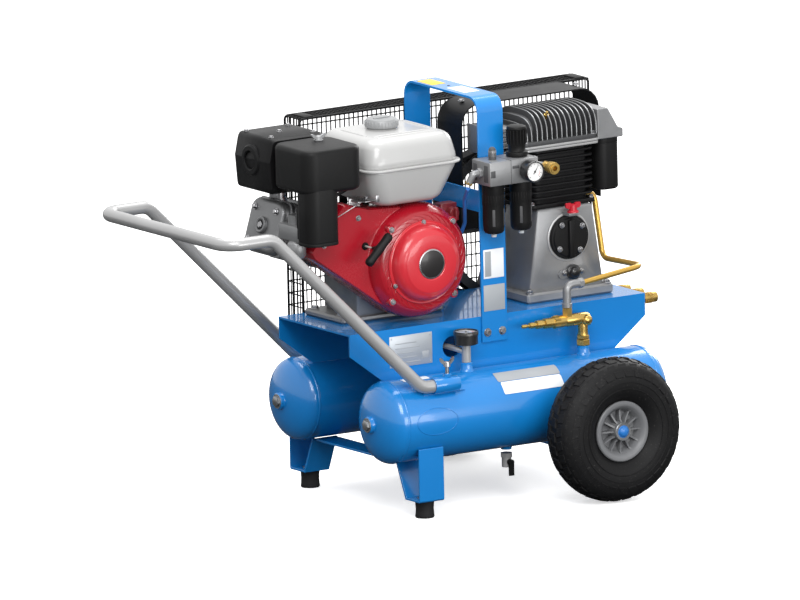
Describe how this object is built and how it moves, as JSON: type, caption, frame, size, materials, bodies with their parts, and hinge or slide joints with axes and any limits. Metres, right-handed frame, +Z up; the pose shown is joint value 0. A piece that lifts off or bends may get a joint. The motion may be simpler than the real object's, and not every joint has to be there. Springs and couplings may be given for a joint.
{
  "type": "wheelbarrow air compressor",
  "caption": "Petrol-engine air compressor on a wheelbarrow frame: two long air tanks, belt-driven piston pump, push handle and air preparation unit.",
  "frame": {"origin": "centre of the machine's footprint on the floor", "axes": "+Z up, +X from the handle towards the wheels, -Y is the side with the recoil starter and the gauges"},
  "size_m": [1.1494, 0.732, 0.838],
  "materials": {
    "blue_enamel": "gloss",
    "red_enamel": "gloss",
    "black_enamel": "satin",
    "black_plastic": "matt",
    "black_rubber": "matt",
    "cast_aluminium": "cast",
    "dark_cast_aluminium": "painted casting",
    "zinc_steel": "zinc plated",
    "satin_paint": "satin",
    "brass": "bright",
    "tank_white": "gloss",
    "red_plastic": "satin",
    "grey_plastic": "satin",
    "blue_hose": "satin",
    "smoked_plastic": "gloss"
  },
  "bodies": {
    "chassis": {"air_cleaner": "black_plastic", "axle_beam": "blue_enamel", "balance_pipe": "zinc_steel", "belt_guard": "black_enamel", "carburetor": "cast_aluminium", "check_valve": "brass", "control_box": "black_plastic", "cooling_cowl": "black_enamel", "cylinder_block": "black_enamel", "cylinder_head": "cast_aluminium", "delivery_tube": "brass", "drain_cock": "zinc_steel", "drive_belt": "black_rubber", "engine_crankcase": "cast_aluminium", "fan_shroud": "red_enamel", "filter_bowl": "smoked_plastic", "foot_bracket_far": "blue_enamel", "foot_bracket_near": "blue_enamel", "foot_crossbar": "blue_enamel", "frl_body": "satin_paint", "frl_gauge": "black_plastic", "fuel_tank": "tank_white", "intake_filter": "black_plastic", "intake_filter_cap": "cast_aluminium", "lubricator_bowl": "smoked_plastic", "muffler": "black_enamel", "outlet_coupler": "brass", "outlet_manifold": "brass", "platform": "blue_enamel", "pump_crankcase": "cast_aluminium", "pump_front_cover": "black_enamel", "pump_head": "dark_cast_aluminium", "recoil_cover": "red_enamel", "roll_bar": "blue_enamel", "rubber_foot_far": "black_rubber", "rubber_foot_near": "black_rubber", "sight_glass": "black_plastic", "supply_hose": "blue_hose", "tank_far": "blue_enamel", "tank_gauge": "black_plastic", "tank_near": "blue_enamel", "valve_plate": "zinc_steel"},
    "wheel_near": {"tyre_near": "black_rubber", "rim_near": "grey_plastic"},
    "wheel_far": {"tyre_far": "black_rubber", "rim_far": "grey_plastic"},
    "push_handle": {"handle": "satin_paint"},
    "thumbscrew_near": {"thumbscrew_near": "zinc_steel"},
    "thumbscrew_far": {"thumbscrew_far": "zinc_steel"},
    "pump_shaft": {"pump_flywheel": "dark_cast_aluminium"},
    "engine_shaft": {"engine_pulley": "zinc_steel"},
    "starter_grip": {"starter_grip": "black_plastic"},
    "fuel_cap": {"fuel_cap": "satin_paint"},
    "oil_filler_cap": {"oil_filler_cap": "red_plastic"},
    "air_cleaner_nut": {"air_cleaner_nut": "zinc_steel"},
    "throttle_lever": {"throttle_lever": "zinc_steel"},
    "engine_switch": {"engine_switch": "red_plastic"},
    "regulator_knob": {"regulator_knob": "black_plastic"},
    "coupler_sleeve": {"coupler_sleeve": "brass"},
    "drain_lever": {"drain_lever": "black_plastic"}
  },
  "joints": [
    {"name": "wheel_near_spin", "type": "hinge", "parent": "chassis", "child": "wheel_near", "pos_m": [0.32, -0.316, 0.15], "axis": [0, 1, 0], "continuous": true},
    {"name": "wheel_far_spin", "type": "hinge", "parent": "chassis", "child": "wheel_far", "pos_m": [0.32, 0.316, 0.15], "axis": [0, 1, 0], "continuous": true},
    {"name": "handle_slide", "type": "slide", "parent": "chassis", "child": "push_handle", "axis": [-1, 0, 0], "range_m": [0, 0.045]},
    {"name": "thumbscrew_near_turn", "type": "hinge", "parent": "chassis", "child": "thumbscrew_near", "pos_m": [-0.03, -0.2345, 0.31135], "axis": [0, 0, 1], "range_deg": [0, 360]},
    {"name": "thumbscrew_far_turn", "type": "hinge", "parent": "chassis", "child": "thumbscrew_far", "pos_m": [-0.03, 0.2345, 0.31135], "axis": [0, 0, 1], "range_deg": [0, 360]},
    {"name": "pump_shaft_spin", "type": "hinge", "parent": "chassis", "child": "pump_shaft", "pos_m": [0.375, 0.17, 0.509], "axis": [0, 1, 0], "continuous": true},
    {"name": "engine_shaft_spin", "type": "hinge", "parent": "chassis", "child": "engine_shaft", "pos_m": [-0.01, 0.17, 0.511], "axis": [0, 1, 0], "continuous": true},
    {"name": "starter_pull", "type": "slide", "parent": "chassis", "child": "starter_grip", "axis": [0, -1, 0], "range_m": [0, 0.05], "stiffness_N_per_m": 40, "springref_m": -0.02},
    {"name": "fuel_cap_turn", "type": "hinge", "parent": "chassis", "child": "fuel_cap", "pos_m": [-0.038, -0.02, 0.7813], "axis": [0, 0, 1], "range_deg": [0, 90]},
    {"name": "oil_filler_cap_turn", "type": "hinge", "parent": "chassis", "child": "oil_filler_cap", "pos_m": [0.375, -0.096, 0.5623], "axis": [0, 0, 1], "range_deg": [0, 360]},
    {"name": "air_cleaner_nut_turn", "type": "hinge", "parent": "chassis", "child": "air_cleaner_nut", "pos_m": [-0.225, -0.07, 0.7833], "axis": [0, 0, 1], "range_deg": [0, 360]},
    {"name": "throttle_turn", "type": "hinge", "parent": "chassis", "child": "throttle_lever", "pos_m": [-0.14, -0.112, 0.656], "axis": [0, 0, 1], "range_deg": [-25, 15]},
    {"name": "engine_switch_turn", "type": "hinge", "parent": "chassis", "child": "engine_switch", "pos_m": [0.098, -0.075, 0.592], "axis": [0, 1, 0], "range_deg": [0, 60]},
    {"name": "regulator_knob_turn", "type": "hinge", "parent": "chassis", "child": "regulator_knob", "pos_m": [0.191, -0.174, 0.7153], "axis": [0, 0, 1], "range_deg": [0, 360]},
    {"name": "coupler_sleeve_slide", "type": "slide", "parent": "chassis", "child": "coupler_sleeve", "axis": [0, 1, 0], "range_m": [0, 0.005], "stiffness_N_per_m": 400, "springref_m": -0.003},
    {"name": "drain_lever_turn", "type": "hinge", "parent": "chassis", "child": "drain_lever", "pos_m": [0.153, -0.1789, 0.082], "axis": [0, 1, 0], "range_deg": [0, 90]}
  ],
  "couplings": [
    {"joint": "engine_shaft_spin", "follows": "pump_shaft_spin", "ratio": 3.0377}
  ]
}
